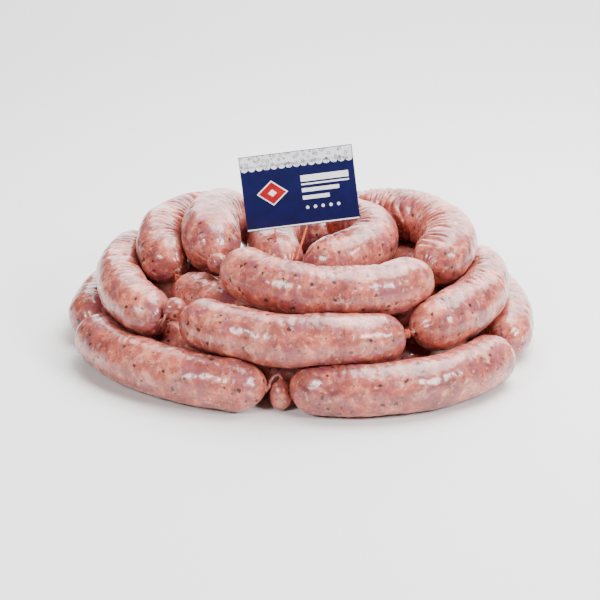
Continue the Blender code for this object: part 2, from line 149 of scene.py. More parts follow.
# Twine: the radius of a ply, how tightly the plies press together, and the length of one twist.
PLY_RADIUS = 0.42 * MM
PLY_TIGHTNESS = 0.95
PLY_LAY = 2.6 * MM
THREAD_TURNS, THREAD_POINTS = 3, 66
THREAD_HALF_WIDTH = 1.3 * MM
THREAD_REACH = NECK_RADIUS + 1.6 * PLY_RADIUS
STRING_CORNERS = 8
STRING_POINTS = 60

# The card label leans back, with its right side raised.
LABEL_SIZE = Vector((76, 50, 1.2)) * MM
LABEL_LEAN = math.radians(15)
LABEL_ROLL = math.radians(7)
CARD_CORNER = 1.5 * MM
CARD_RIM = 0.25 * MM
CARD_MARGIN = 0.5 * MM

# The print: films of ink on the card's face, each this thick, and placed from its middle.
INK = 0.05 * MM
BAND_SHARE = 0.16
SCALLOPS = 15
FOOT_EDGE = 0.9 * MM
# Name, ink, width in mm, and how many films lie under it.
LOZENGES = (
    ("lozenge_rim", "white", 21, 0),
    ("lozenge", "red", 18.4, 1),
    ("lozenge_heart", "white", 6.0, 2),
)
LOZENGE_PLACE = -0.24 * LABEL_SIZE.x, -1.0 * MM
# Length, thickness and height on the card, in mm.
BARS = (
    (32, 4.2, 6.2),
    (32, 1.1, 2.3),
    (25, 2.6, -1.6),
    (18, 2.6, -6.6),
)
BARS_LEFT = 0.02 * LABEL_SIZE.x
DOTS, DOT_WIDTH = 5, 2.2 * MM
DOTS_LEFT, DOT_SPACING, DOTS_HEIGHT = 4 * MM, 5.2 * MM, -13.2 * MM


def linear(hex_colour):
    """An sRGB hex value as the linear colour that shaders take."""
    channels = [int(hex_colour[n:n + 2], 16) / 255 for n in (1, 3, 5)]
    return tuple(c / 12.92 if c <= 0.04045 else ((c + 0.055) / 1.055) ** 2.4
                 for c in channels) + (1.0,)


# Materials


def new_material(name):
    """A new material with nodes, and its shader."""
    material = bpy.data.materials.new(name)
    material.use_nodes = True
    return material, material.node_tree.nodes["Principled BSDF"]


def add(material, kind, settings, links=None):
    """Adds a shader node.

    Settings are its properties, or values of its inputs by name or number; links join inputs to
    other nodes' outputs. The stops of a colour ramp are (position, hex colour or grey) pairs.
    """
    node = material.node_tree.nodes.new("ShaderNode" + kind)
    for name, value in settings.items():
        if name == "stops":
            stops = node.color_ramp.elements
            for n, (position, shade) in enumerate(value):
                stop = stops[n] if n < 2 else stops.new(position)
                stop.position = position
                is_hex = isinstance(shade, str)
                stop.color = linear(shade) if is_hex else (shade, shade, shade, 1)
            node.color_ramp.interpolation = "EASE"
        elif isinstance(name, int) or not hasattr(node, name):
            node.inputs[name].default_value = value
        else:
            setattr(node, name, value)
    for name, output in (links or {}).items():
        material.node_tree.links.new(output, node.inputs[name])
    return node


def place_on_piece(material, shift=(0, 0, 0)):
    """Object coordinates, shifted so that two patterns of one material don't fall together."""
    spot = add(material, "TexCoord", {})
    moved = add(material, "Mapping", {"Location": shift}, {"Vector": spot.outputs["Object"]})
    return moved.outputs[0]


def patches(material, colour, spot, hex_colour, width, low, high, strength, roughness, distortion):
    """Soft patches of a second colour over the first, about this wide.

    There are none where the noise is low, and they reach their strength where it is high.
    """
    cloud = add(material, "TexNoise",
                {"Scale": NOISE_LUMP / width, "Detail": 3.0, "Roughness": roughness,
                 "Distortion": distortion},
                {"Vector": spot})
    mask = add(material, "ValToRGB", {"stops": [(low, 0.0), (high, strength)]},
               {"Fac": cloud.outputs["Fac"]})
    return add(material, "Mix", {"data_type": "RGBA", 7: linear(hex_colour)},
               {0: mask.outputs[0], 6: colour}).outputs[2]


def flecks(material, colour, spot, hex_colour, spacing, size, share, strength):
    """Separate ragged flecks of a second colour, about this size, in this share of the cells."""
    wobble = add(material, "TexNoise", {"Scale": FLECK_WOBBLE / size, "Detail": 2.0},
                 {"Vector": spot})
    ragged = add(material, "VectorMath",
                 {"operation": "MULTIPLY_ADD", 1: (size * FLECK_WOBBLE,) * 3},
                 {0: wobble.outputs["Color"], 2: spot})
    cell = add(material, "TexVoronoi", {"Scale": 1 / spacing}, {"Vector": ragged.outputs[0]})
    edge = 0.5 * size / spacing
    near = add(material, "MapRange",
               {"From Min": edge, "From Max": 0.75 * edge, "To Max": strength},
               {"Value": cell.outputs["Distance"]})
    chosen = add(material, "Math", {"operation": "LESS_THAN", 1: share},
                 {0: cell.outputs["Color"]})
    mask = add(material, "Math", {"operation": "MULTIPLY"},
               {0: near.outputs[0], 1: chosen.outputs[0]})
    return add(material, "Mix", {"data_type": "RGBA", 7: linear(hex_colour)},
               {0: mask.outputs[0], 6: colour}).outputs[2]


def darkened(material, colour, field, low, high, darkest):
    """The colour, darkened where a field falls from high to low, to this share of its light."""
    tone = add(material, "ValToRGB", {"stops": [(low, darkest), (high, 1.0)]}, {"Fac": field})
    return add(material, "Mix", {"data_type": "RGBA", "blend_type": "MULTIPLY", 0: 1.0},
               {6: colour, 7: tone.outputs[0]}).outputs[2]


def filling_colour(material, spot, other_spot, stirred, grains, stretched):
    """Salmon meat, grain by grain, with lean and fat, pepper flakes and herbs.

    It is streaked round the link, as the casing smears it.
    """
    mood = add(material, "TexNoise",
               {"Scale": NOISE_LUMP / BATCH, "Detail": 4.0, "Roughness": 0.62, "Distortion": 0.5},
               {"Vector": spot})
    meat = [(0.34, "#904945"), (0.45, "#B0584B"), (0.54, "#CB6655"), (0.66, "#E2816B")]
    colour = add(material, "ValToRGB", {"stops": meat}, {"Fac": mood.outputs["Fac"]}).outputs[0]
    colour = darkened(material, colour, grains.outputs["Color"], 0.3, 0.7, 0.76)
    fibres = add(material, "TexNoise",
                 {"Scale": NOISE_LUMP / (1.1 * MM), "Detail": 3.0, "Roughness": 0.7},
                 {"Vector": stirred})
    colour = darkened(material, colour, fibres.outputs["Fac"], 0.34, 0.58, 0.77)
    smear = add(material, "TexNoise",
                {"Scale": NOISE_LUMP / (2.4 * MM), "Detail": 4.0, "Roughness": 0.65},
                {"Vector": stretched})
    colour = darkened(material, colour, smear.outputs["Fac"], 0.34, 0.6, 0.74)
    # Dark lean, large and small, and then fat, large and small: width, where the noise starts and
    # reaches its strength, that strength, roughness and distortion.
    for where, hex_colour, width, low, high, strength, roughness, distortion in (
        (other_spot, "#8C4650", 9 * MM, 0.49, 0.64, 0.75, 0.7, 0.8),
        (spot, "#774048", 3.2 * MM, 0.54, 0.68, 0.7, 0.6, 0.0),
        (spot, "#E6A287", 6 * MM, 0.52, 0.72, 0.5, 0.6, 0.4),
        (other_spot, "#EBB196", 2.4 * MM, 0.55, 0.72, 0.45, 0.6, 0.0),
    ):
        colour = patches(material, colour, where, hex_colour, width, low, high, strength,
                         roughness, distortion)
    # Pepper, large herbs and small ones: spacing, size, share of the cells and strength.
    for where, hex_colour, spacing, size, share, strength in (
        (other_spot, "#8A2A1A", 9 * MM, 1.3 * MM, 0.45, 0.7),
        (spot, "#211F19", 5.8 * MM, 3.0 * MM, 0.4, 0.9),
        (other_spot, "#302A24", 3.0 * MM, 1.4 * MM, 0.4, 0.75),
    ):
        colour = flecks(material, colour, where, hex_colour, spacing, size, share, strength)
    return colour


def casing_relief(material, spot, grains, stretched):
    """The skin's fine relief: the grains under it, stretch creases round the link, and its film.

    The film's own unevenness is finer than its 0.9 mm here, which is the finest that shows.
    """
    coarse = add(material, "Bump", {"Strength": 0.4, "Distance": 0.4 * MM},
                 {"Height": grains.outputs["Distance"]})
    tension = add(material, "TexNoise",
                  {"Scale": NOISE_LUMP / (1.5 * MM), "Detail": 3.0, "Roughness": 0.6},
                  {"Vector": stretched})
    creases = add(material, "Bump", {"Strength": 0.5, "Distance": 0.3 * MM},
                  {"Height": tension.outputs["Fac"], "Normal": coarse.outputs[0]})
    film = add(material, "TexNoise",
               {"Scale": NOISE_LUMP / (0.9 * MM), "Detail": 3.0, "Roughness": 0.6},
               {"Vector": spot})
    return add(material, "Bump", {"Strength": 0.4, "Distance": 0.16 * MM},
               {"Height": film.outputs["Fac"], "Normal": creases.outputs[0]}).outputs[0]


def raw_pork_in_hog_casing():
    """Coarse-ground raw pork in moist natural casing.

    The 4 to 6 mm grains of the grind show through the casing as a soft mosaic of salmon meat,
    purplish lean and cream fat, with green-black herbs and a few red-brown pepper flakes. The wet
    casing has a sharp gloss over the softer one of the meat, and light goes a few millimetres in.
    """
    material, shader = new_material("raw_pork_in_hog_casing")
    spot = place_on_piece(material, (0.37, 0.11, 0.05))
    other_spot = place_on_piece(material, (0.91, 0.43, 0.77))
    swirl = add(material, "TexNoise", {"Scale": NOISE_LUMP / GRAIN, "Detail": 2.0},
                {"Vector": spot})
    stirred = add(material, "VectorMath", {"operation": "MULTIPLY_ADD", 1: (1.6 * GRAIN,) * 3},
                  {0: swirl.outputs["Color"], 2: spot}).outputs[0]
    grains = add(material, "TexVoronoi",
                 {"feature": "SMOOTH_F1", "Scale": 1 / GRAIN, "Smoothness": 0.8},
                 {"Vector": stirred})
    unrolled = add(material, "Attribute", {"attribute_name": "straight"})
    stretched = add(material, "Mapping", {"Scale": (RIPPLE_STRETCH, RIPPLE_STRETCH, 1.0)},
                    {"Vector": unrolled.outputs["Vector"]}).outputs[0]
    colour = filling_colour(material, spot, other_spot, stirred, grains, stretched)
    wet = add(material, "TexNoise",
              {"Scale": NOISE_LUMP / (3 * MM), "Detail": 4.0, "Roughness": 0.65},
              {"Vector": spot})
    gloss = add(material, "ValToRGB", {"stops": [(0.36, 0.3), (0.62, 0.58)]},
                {"Fac": wet.outputs["Fac"]})
    skin = casing_relief(material, spot, grains, stretched)
    material.node_tree.links.new(colour, shader.inputs["Base Color"])
    material.node_tree.links.new(gloss.outputs[0], shader.inputs["Roughness"])
    material.node_tree.links.new(skin, shader.inputs["Normal"])
    material.node_tree.links.new(skin, shader.inputs["Coat Normal"])
    shader.inputs["Subsurface Weight"].default_value = 0.15
    shader.inputs["Subsurface Radius"].default_value = (1.0, 0.34, 0.24)
    shader.inputs["Subsurface Scale"].default_value = 2.0 * MM
    shader.inputs["IOR"].default_value = 1.5
    shader.inputs["Specular IOR Level"].default_value = 0.25
    shader.inputs["Coat Weight"].default_value = 0.8
    shader.inputs["Coat Roughness"].default_value = 0.18
    shader.inputs["Coat IOR"].default_value = 1.5
    return material


def twisted_casing():
    """Empty casing twisted into a neck: duller pleats of the same wet gut, coloured darker as
    painted shade.
    """
    material, shader = new_material("twisted_casing")
    spot = place_on_piece(material)
    streak = add(material, "TexNoise", {"Scale": NOISE_LUMP / (1.8 * MM), "Detail": 2.0},
                 {"Vector": spot})
    # Both stops are darker than the meat: painted shade, as the necks lie in the dark gaps between
    # links.
    colour = add(material, "ValToRGB", {"stops": [(0.3, "#7E4038"), (0.7, "#B06A5C")]},
                 {"Fac": streak.outputs["Fac"]})
    pleat = add(material, "Bump", {"Strength": 0.3, "Distance": 0.3 * MM},
                {"Height": streak.outputs["Fac"]})
    material.node_tree.links.new(colour.outputs[0], shader.inputs["Base Color"])
    material.node_tree.links.new(pleat.outputs[0], shader.inputs["Normal"])
    shader.inputs["Roughness"].default_value = 0.42
    shader.inputs["Subsurface Weight"].default_value = 0.2
    shader.inputs["Subsurface Radius"].default_value = (1.0, 0.4, 0.3)
    shader.inputs["Subsurface Scale"].default_value = 2 * MM
    shader.inputs["Coat Weight"].default_value = 0.25
    shader.inputs["Coat Roughness"].default_value = 0.25
    return material


def cotton_ply(name, light, dark):
    """Soft-spun cotton, one ply of a butcher's twine: matt, with fine fibres and a soft halo.

    Real fibres are far finer. They are drawn as bundles of 0.45 mm, the finest that show.
    """
    material, shader = new_material(name)
    spot = place_on_piece(material)
    fibres = add(material, "TexNoise",
                 {"Scale": NOISE_LUMP / (0.45 * MM), "Detail": 3.0, "Roughness": 0.7},
                 {"Vector": spot})
    colour = add(material, "ValToRGB", {"stops": [(0.3, dark), (0.68, light)]},
                 {"Fac": fibres.outputs["Fac"]})
    fuzz = add(material, "Bump", {"Strength": 0.5, "Distance": 0.15 * MM},
               {"Height": fibres.outputs["Fac"]})
    material.node_tree.links.new(colour.outputs[0], shader.inputs["Base Color"])
    material.node_tree.links.new(fuzz.outputs[0], shader.inputs["Normal"])
    shader.inputs["Roughness"].default_value = 0.75
    shader.inputs["Sheen Weight"].default_value = 0.25
    return material


def laminated_print(name, ink, mottle, ring_spacing=None):
    """Offset ink on card under clear film.

    It has an even colour, a sharp gloss, and the waviness of a card that has been bent. With a
    ring spacing, a grey ink lies over it in small rings.
    """
    material, shader = new_material(name)
    spot = place_on_piece(material)
    uneven = add(material, "TexNoise", {"Scale": NOISE_LUMP / (4 * MM), "Detail": 3.0},
                 {"Vector": spot})
    colour = add(material, "ValToRGB", {"stops": [(0.3, mottle), (0.7, ink)]},
                 {"Fac": uneven.outputs["Fac"]}).outputs[0]
    if ring_spacing:
        cells = add(material, "TexVoronoi", {"Scale": 1 / ring_spacing}, {"Vector": spot})
        ring = add(material, "ValToRGB",
                   {"stops": [(0.16, 0.0), (0.22, 0.9), (0.36, 0.9), (0.42, 0.0)]},
                   {"Fac": cells.outputs["Distance"]})
        colour = add(material, "Mix", {"data_type": "RGBA", 7: linear("#8B8A96")},
                     {0: ring.outputs[0], 6: colour}).outputs[2]
    bend = add(material, "TexNoise", {"Scale": NOISE_LUMP / (24 * MM), "Detail": 1.0},
               {"Vector": spot})
    wave = add(material, "Bump", {"Strength": 0.25, "Distance": 0.5 * MM},
               {"Height": bend.outputs["Fac"]})
    material.node_tree.links.new(colour, shader.inputs["Base Color"])
    material.node_tree.links.new(wave.outputs[0], shader.inputs["Normal"])
    shader.inputs["Roughness"].default_value = 0.3
    shader.inputs["Coat Weight"].default_value = 0.8
    shader.inputs["Coat Roughness"].default_value = 0.06
    return material


def seamless_paper():
    """Pale matt paper for the floor: an even tone with no gloss, on which only shadows show."""
    material, shader = new_material("pale_floor")
    shader.inputs["Base Color"].default_value = linear("#E6E5E4")
    shader.inputs["Roughness"].default_value = 0.7
    return material


# Small helpers


def rising(values, low, high):
    """0 up to low, 1 from high on, and even between."""
    return np.clip((values - low) / (high - low), 0, 1)


def unit(vectors):
    """The vectors at length 1, apart from those that have no length."""
    return vectors / np.maximum(np.linalg.norm(vectors, axis=1), 1e-6)[:, None]


def read_at(steps, values):
    """Values given point by point, read at steps between the points."""
    index = np.arange(len(values))
    if values.ndim == 1:
        return np.interp(steps, index, values)
    return np.array([np.interp(steps, index, column) for column in values.T]).T


def merged_solid(node):
    """A copy of a CAD node's mesh, with its loose triangles joined."""
    solid = bmesh.new()
    solid.from_mesh(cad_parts[node].data)
    bmesh.ops.remove_doubles(solid, verts=solid.verts, dist=SAME_PLACE)
    return solid


# Reading the rings of a CAD solid


def ring_levels(start):
    """The corners of a solid in steps from one corner, as lists."""
    seen, levels = {start}, [[start]]
    while levels[-1]:
        following = []
        for corner in levels[-1]:
            for edge in corner.link_edges:
                other = edge.other_vert(corner)
                if other not in seen:
                    seen.add(other)
                    following.append(other)
        levels.append(following)
    return levels[:-1]


def ring_in_order(ring):
    """A ring's corners in the order in which its edges join them."""
    members, order = set(ring), [ring[0]]
    while len(order) < len(ring):
        near = [edge.other_vert(order[-1]) for edge in order[-1].link_edges]
        order.append(next(other for other in near if other in members and other not in order))
    return np.array([corner.co for corner in order])


def nearest_turn(ring, before):
    """The ring, started and turned so that its corners lie beside those of the ring before it."""
    choices = [np.roll(way, shift, axis=0)
               for way in (ring, ring[::-1]) for shift in range(len(ring))]
    return min(choices, key=lambda choice: ((choice - before) ** 2).sum())


def rings_of(node):
    """The corners of a CAD solid as rings from tip to tip.

    A tip is a ring of one repeated point.
    """
    solid = merged_solid(node)
    for tip in sorted(solid.verts, key=lambda corner: -len(corner.link_edges)):
        levels = ring_levels(tip)
        around = len(levels[1])
        if len(levels[-1]) == 1 and all(len(level) == around for level in levels[1:-1]):
            break
    else:
        raise ValueError(f"{node} has no rings")
    rings = [ring_in_order(levels[1])]
    for level in levels[2:-1]:
        rings.append(nearest_turn(ring_in_order(level), rings[-1]))
    tips = [np.repeat([levels[end][0].co[:]], around, axis=0) for end in (0, -1)]
    solid.free()
    return np.array([tips[0], *rings, tips[1]])


# Smooth surfaces over those rings


def cubic_weights(share):
    """The weights of four neighbouring points in a smooth curve through the middle two."""
    return np.array([
        -0.5 * share + share ** 2 - 0.5 * share ** 3,
        1 - 2.5 * share ** 2 + 1.5 * share ** 3,
        0.5 * share + 2 * share ** 2 - 1.5 * share ** 3,
        -0.5 * share ** 2 + 0.5 * share ** 3,
    ])


def smooth_skin(rings, steps, turns):
    """Points on the smooth surface through the rings.

    Steps count rings from the first tip, and turns go from 0 to 1 round the ring.
    """
    last, around = len(rings) - 1, rings.shape[1]
    beyond = [np.roll(rings[end], around // 2, axis=0)[None] for end in (1, -2)]
    padded = np.concatenate([beyond[0], rings, beyond[1]])
    low = np.clip(np.floor(steps).astype(int), 0, last - 1)
    along = cubic_weights(steps - low)
    spin = turns * around
    column = np.floor(spin).astype(int)
    across = cubic_weights(spin - column)
    points = np.zeros((len(steps), 3))
    for i in range(4):
        for j in range(4):
            corner = padded[low + i, (column + j - 1) % around]
            points += (along[i] * across[j])[:, None] * corner
    return points


class Form:
    """The axis of a link, with its bend, read from its rings."""

    def __init__(self, rings):
        self.centres = rings.mean(1)
        smooth = self.centres.copy()
        smooth[1:-1] = (smooth[:-2] + 2 * smooth[1:-1] + smooth[2:]) / 4
        spans = np.linalg.norm(np.diff(smooth, axis=0), axis=1)
        self.along = np.concatenate([[0], np.cumsum(spans)])
        self.length = self.along[-1]
        bend = np.gradient(unit(np.gradient(smooth, self.along, axis=0)), self.along, axis=0)
        bend[:3], bend[-3:] = bend[3], bend[-4]
        for _ in range(3):
            bend[1:-1] = (bend[:-2] + 2 * bend[1:-1] + bend[2:]) / 4
        self.bend = bend


def relief(spots, width, detail=0):
    """Noise at each spot, in lumps of about this width; each step of detail halves them."""
    values = np.zeros(len(spots))
    for octave in range(detail + 1):
        scaled = spots * (2 ** octave / width)
        values += np.array([noise.noise(Vector(spot)) for spot in scaled]) / 2 ** octave
    return values


def wrinkles(form, steps, inward, spots, seed):
    """How deep the casing folds over the top and the inside of a bend, as a share of full depth.

    The folds are narrow valleys between pillows.
    """
    along = read_at(steps, form.along)
    facing = -np.einsum("ij,ij->i", inward, unit(read_at(steps, form.bend)))
    inside = rising(facing, WRINKLE_OUTSIDE, WRINKLE_INSIDE)
    drift = WRINKLE_DRIFT * relief(spots + seed, WRINKLE_DRIFT_WIDTH)
    pillow = np.abs(np.cos(np.pi * (along / WRINKLE_SPACING + drift))) ** WRINKLE_SHARPNESS
    uneven = WRINKLE_STRENGTH + WRINKLE_UNEVEN * relief(spots - seed, WRINKLE_UNEVEN_WIDTH)
    strength = np.clip(uneven, WRINKLE_LEAST, WRINKLE_MOST)
    ends = rising(np.minimum(along, form.length - along), WRINKLE_START, WRINKLE_FULL)
    return inside * strength * ends * (1 - pillow)


def gathers(form, steps, turns, seed):
    """How deep the casing is creased where it is drawn together at a tied tip."""
    along = read_at(steps, form.along)
    depth = np.zeros(len(steps))
    for distance, shift in ((along, 0.0), (form.length - along, GATHER_SHIFT)):
        near = np.clip(1 - distance / GATHER_LENGTH, 0, 1) ** GATHER_FADE
        angle = 2 * np.pi * (turns + shift)
        # Slow waves round the tip put the creases at uneven distances and depths.
        wobble = 1.3 * np.sin(2 * angle + seed) + 0.9 * np.sin(3 * angle + 2 * seed)
        pillow = np.abs(np.cos(0.5 * (GATHER_CREASES * angle + wobble))) ** GATHER_SHARPNESS
        uneven = 0.7 + 0.5 * np.sin(angle + 3 * seed) + 0.3 * np.sin(4 * angle - seed)
        depth += GATHER_DEPTH * near * (1 - pillow) * np.clip(uneven, 0.1, 1.3)
    return depth


def sphere_object(name, around, along):
    """A UV sphere with this many faces round and along it, and where its corners lie on it."""
    bpy.ops.object.select_all(action="DESELECT")
    bpy.ops.mesh.primitive_uv_sphere_add(segments=around, ring_count=along, radius=1,
                                         calc_uvs=True)
    piece = bpy.context.object
    piece.name = piece.data.name = name
    corners = np.empty(len(piece.data.vertices) * 3)
    piece.data.vertices.foreach_get("co", corners)
    corners = corners.reshape(-1, 3)
    down = np.arccos(np.clip(corners[:, 2], -1, 1)) / np.pi
    turns = np.arctan2(corners[:, 1], corners[:, 0]) / (2 * np.pi) % 1
    return piece, down, turns


def reshape(piece, skin, material):
    """Moves a sphere's corners to these points, and finishes it: outward, smooth and coloured."""
    piece.data.vertices.foreach_set("co", skin.ravel())
    piece.data.update()
    shape = bmesh.new()
    shape.from_mesh(piece.data)
    if shape.calc_volume(signed=True) < 0:
        bmesh.ops.reverse_faces(shape, faces=shape.faces)
    shape.to_mesh(piece.data)
    shape.free()
    bpy.ops.object.shade_smooth()
    piece.data.materials.append(material)


def link_faces(node):
    """How fine a link or a ball is made."""
    if node.startswith("nub_"):
        return BALL_FACES
    return HIDDEN_LINK_FACES if node.startswith(HIDDEN_LINKS) else SEEN_LINK_FACES


def make_link(node, material):
    """A link or a small ball of filling, in its casing."""
    rings = rings_of(node)
    form = Form(rings)
    name = node.replace("link_", "sausage_").replace("nub_", "ball_")
    piece, down, turns = sphere_object(name, *link_faces(node))
    steps = down * (len(rings) - 1)
    skin = smooth_skin(rings, steps, turns)
    inward = unit(read_at(steps, form.centres) - skin)
    # A number of its own, so that no two links are creased alike.
    seed = sum(map(ord, node)) * 0.013
    angle = 2 * np.pi * turns
    straight = np.array([0.5 * CASING_WIDTH * np.cos(angle), 0.5 * CASING_WIDTH * np.sin(angle),
                         read_at(steps, form.along) + seed]).T
    # Each kind of relief goes mostly inwards, so that the link keeps its size.
    depth = LUMP_DEPTH * (0.35 - relief(skin + seed, LUMP_WIDTH, 1))
    depth += GRIND_DEPTH * (0.3 - relief(skin + seed, GRIND_WIDTH))
    if not node.startswith("nub_"):
        stretched = straight * (RIPPLE_STRETCH, RIPPLE_STRETCH, 1)
        fold_depth = WRINKLE_DEPTH * FOLDED.get(node, NEARLY_SMOOTH)
        depth += RIPPLE_DEPTH * (0.4 - relief(stretched, RIPPLE_WIDTH))
        depth += fold_depth * wrinkles(form, steps, inward, skin, seed)
        depth += gathers(form, steps, turns, seed)
    ends = rising(np.minimum(down, 1 - down), 0, TIP_SHARE)
    skin += inward * (depth * ends)[:, None]
    # Nothing dips under the surface that the pile lies on.
    skin[:, 2] = np.maximum(skin[:, 2], 0)
    unrolled = piece.data.attributes.new("straight", "FLOAT_VECTOR", "POINT")
    unrolled.data.foreach_set("vector", straight.ravel())
    reshape(piece, skin, material)
    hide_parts(node)
    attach(piece, "root")


# Ties and strings


def carried_frames(path):
    """Two directions square to a path at each of its points, carried along it without twist."""
    tangents = unit(np.gradient(path, axis=0))
    side = np.cross(tangents[0], (0.31, 0.17, 0.94))
    sides = []
    for tangent in tangents:
        side = side - tangent * (side @ tangent)
        side = side / np.linalg.norm(side)
        sides.append(side)
    sides = np.array(sides)
    return sides, np.cross(sides, tangents)


def evened(path, count):
    """A path of this many points at even distances, and how far along it each one lies."""
    along = np.concatenate([[0], np.cumsum(np.linalg.norm(np.diff(path, axis=0), axis=1))])
    wanted = np.linspace(0, along[-1], count)
    return np.array([np.interp(wanted, along, column) for column in path.T]).T, wanted


def curve_piece(name, paths, radius, materials):
    """Round strands along paths, closed at their ends, as one mesh."""
    data = bpy.data.curves.new(name, "CURVE")
    data.dimensions = "3D"
    data.bevel_depth = radius
    data.bevel_resolution = 1
    data.use_fill_caps = True
    for n, path in enumerate(paths):
        line = data.splines.new("POLY")
        line.points.add(len(path) - 1)
        line.material_index = n % len(materials)
        for point, spot in zip(line.points, path):
            point.co = (*spot, 1)
    for material in materials:
        data.materials.append(material)
    piece = bpy.data.objects.new(name, data)
    bpy.context.scene.collection.objects.link(piece)
    bpy.ops.object.select_all(action="DESELECT")
    piece.select_set(True)
    bpy.context.view_layer.objects.active = piece
    bpy.ops.object.convert(target="MESH")
    bpy.ops.object.mode_set(mode="EDIT")
    bpy.ops.mesh.select_all(action="SELECT")
    bpy.ops.mesh.remove_doubles(threshold=SAME_PLACE)
    bpy.ops.mesh.normals_make_consistent(inside=False)
    bpy.ops.object.mode_set(mode="OBJECT")
    bpy.ops.object.shade_smooth_by_angle(angle=math.radians(60))
    return bpy.context.object


def twine(name, path, materials):
    """Two plies twisted round each other along a path."""
    path, along = evened(path, len(path))
    side, up = carried_frames(path)
    plies = []
    for start in (0, np.pi):
        angle = 2 * np.pi * along / PLY_LAY + start
        offset = np.cos(angle)[:, None] * side + np.sin(angle)[:, None] * up
        plies.append(path + PLY_RADIUS * PLY_TIGHTNESS * offset)
    return curve_piece(name, plies, PLY_RADIUS, materials)


def make_neck(node, material, ball_tips):
    """The casing between two links, twisted to a rope and flared out over each link's tip.

    Returns its path, its length and whether it goes to a ball of filling.
    """
    path = rings_of(node).mean(1)
    piece, down, turns = sphere_object(node.replace("tie", "neck"), *NECK_FACES)
    outer = path[[0, -1]] + NECK_INSIDE * unit(path[[0, -1]] - path[[1, -2]])
    path, along = evened(np.concatenate([outer[:1], path, outer[1:]]), NECK_POINTS)
    length = along[-1]
    at_ball = [np.linalg.norm(ball_tips - path[end], axis=1).min() < NEAR_BALL for end in (0, -1)]
    share = rising(down, NECK_CAP, 1 - NECK_CAP)
    centre, across, upward = (read_at(share * (NECK_POINTS - 1), part)
                              for part in (path, *carried_frames(path)))
    flare = np.where(share < 0.5, *(BALL_FLARE if near else NECK_FLARE for near in at_ball))
    rope = NECK_RADIUS * np.clip(NECK_FULL_LENGTH / length, NECK_LEAST, 1)
    from_tip = np.minimum(share, 1 - share) * length
    flared = np.exp(-(from_tip / NECK_FLARE_LENGTH) ** NECK_FLARE_CURVE)
    radius = rope + (flare - rope) * flared
    angle = 2 * np.pi * turns
    twist = NECK_PLEATS * (angle + 2 * np.pi * share * length / NECK_LAY)
    radius *= 1 - NECK_PLEAT_DEPTH * np.abs(np.cos(twist / 2))
    radius = np.where(np.minimum(down, 1 - down) < NECK_POLE, 0, radius)
    outward = np.cos(angle)[:, None] * across + np.sin(angle)[:, None] * upward
    reshape(piece, centre + radius[:, None] * outward, material)
    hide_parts(node)
    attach(piece, "root")
    return path, length, any(at_ball)


def make_thread(number, path, length, materials):
    """Twine wound round the middle of a neck."""
    half = min(0.5, THREAD_HALF_WIDTH / length)
    share = np.linspace(0.5 - half, 0.5 + half, THREAD_POINTS)
    centre = read_at(share * (len(path) - 1), path)
    side, up = carried_frames(centre)
    angle = np.linspace(0, 2 * np.pi * THREAD_TURNS, THREAD_POINTS) + number
    coil = centre + THREAD_REACH * (np.cos(angle)[:, None] * side + np.sin(angle)[:, None] * up)
    piece = twine(f"thread_{number:02d}", coil, materials)
    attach(piece, "root")


def string_path(node):
    """The middle of a CAD string, from its upper end down, section by section."""
    solid = merged_solid(node)
    corners = np.array([corner.co for corner in solid.verts])
    solid.free()
    middle = corners.mean(0)
    direction = np.linalg.svd(corners - middle)[2][0]
    if direction[2] > 0:
        direction = -direction
    order = np.argsort((corners - middle) @ direction)
    sections = np.array_split(corners[order], len(corners) // STRING_CORNERS)
    return np.array([section.mean(0) for section in sections])


def make_string(node, materials):
    """A string of the label."""
    path = evened(string_path(node), STRING_POINTS)[0]
    piece = twine(node.replace("label_", ""), path, materials)
    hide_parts(node)
    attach(piece, "root")


# The card label


def card_matrix():
    """From the card's own frame to its place on the pile.

    In that frame x goes to the right, y up and z out of the card's face.
    """
    low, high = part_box("label_card")
    back = Vector((0, math.sin(LABEL_LEAN), math.cos(LABEL_LEAN)))
    right = Vector((math.cos(LABEL_ROLL), 0, 0)) + math.sin(LABEL_ROLL) * back
    up = Vector((-math.sin(LABEL_ROLL), 0, 0)) + math.cos(LABEL_ROLL) * back
    place = Matrix((right, up, right.cross(up))).transposed().to_4x4()
    place.translation = (low + high) / 2
    return place


def finish_card_piece(piece, material):
    """Puts a piece that was made in the card's frame in its place, and hands it over."""
    piece.data.transform(card_matrix())
    piece.data.materials.append(material)
    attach(piece, "root")


def rounded_card(name, size, corner, rim):
    """A flat card from a cube, with rounded corners and a softened rim, in its own frame."""
    bpy.ops.object.select_all(action="DESELECT")
    bpy.ops.mesh.primitive_cube_add(size=1)
    piece = bpy.context.object
    piece.name = piece.data.name = name
    piece.scale = size
    bpy.ops.object.transform_apply(location=False, rotation=False, scale=True)
    bpy.ops.object.mode_set(mode="EDIT")
    shape = bmesh.from_edit_mesh(piece.data)
    for edge in shape.edges:
        one, other = edge.verts
        edge.select_set(abs(one.co.z - other.co.z) > size[2] / 2)
    bmesh.update_edit_mesh(piece.data)
    bpy.ops.mesh.bevel(offset=corner, segments=6, affect="EDGES")
    bpy.ops.mesh.select_all(action="SELECT")
    bpy.ops.mesh.select_mode(type="EDGE")
    bpy.ops.mesh.edges_select_sharp(sharpness=math.radians(50))
    bpy.ops.mesh.bevel(offset=rim, segments=2, affect="EDGES")
    bpy.ops.object.mode_set(mode="OBJECT")
    return piece


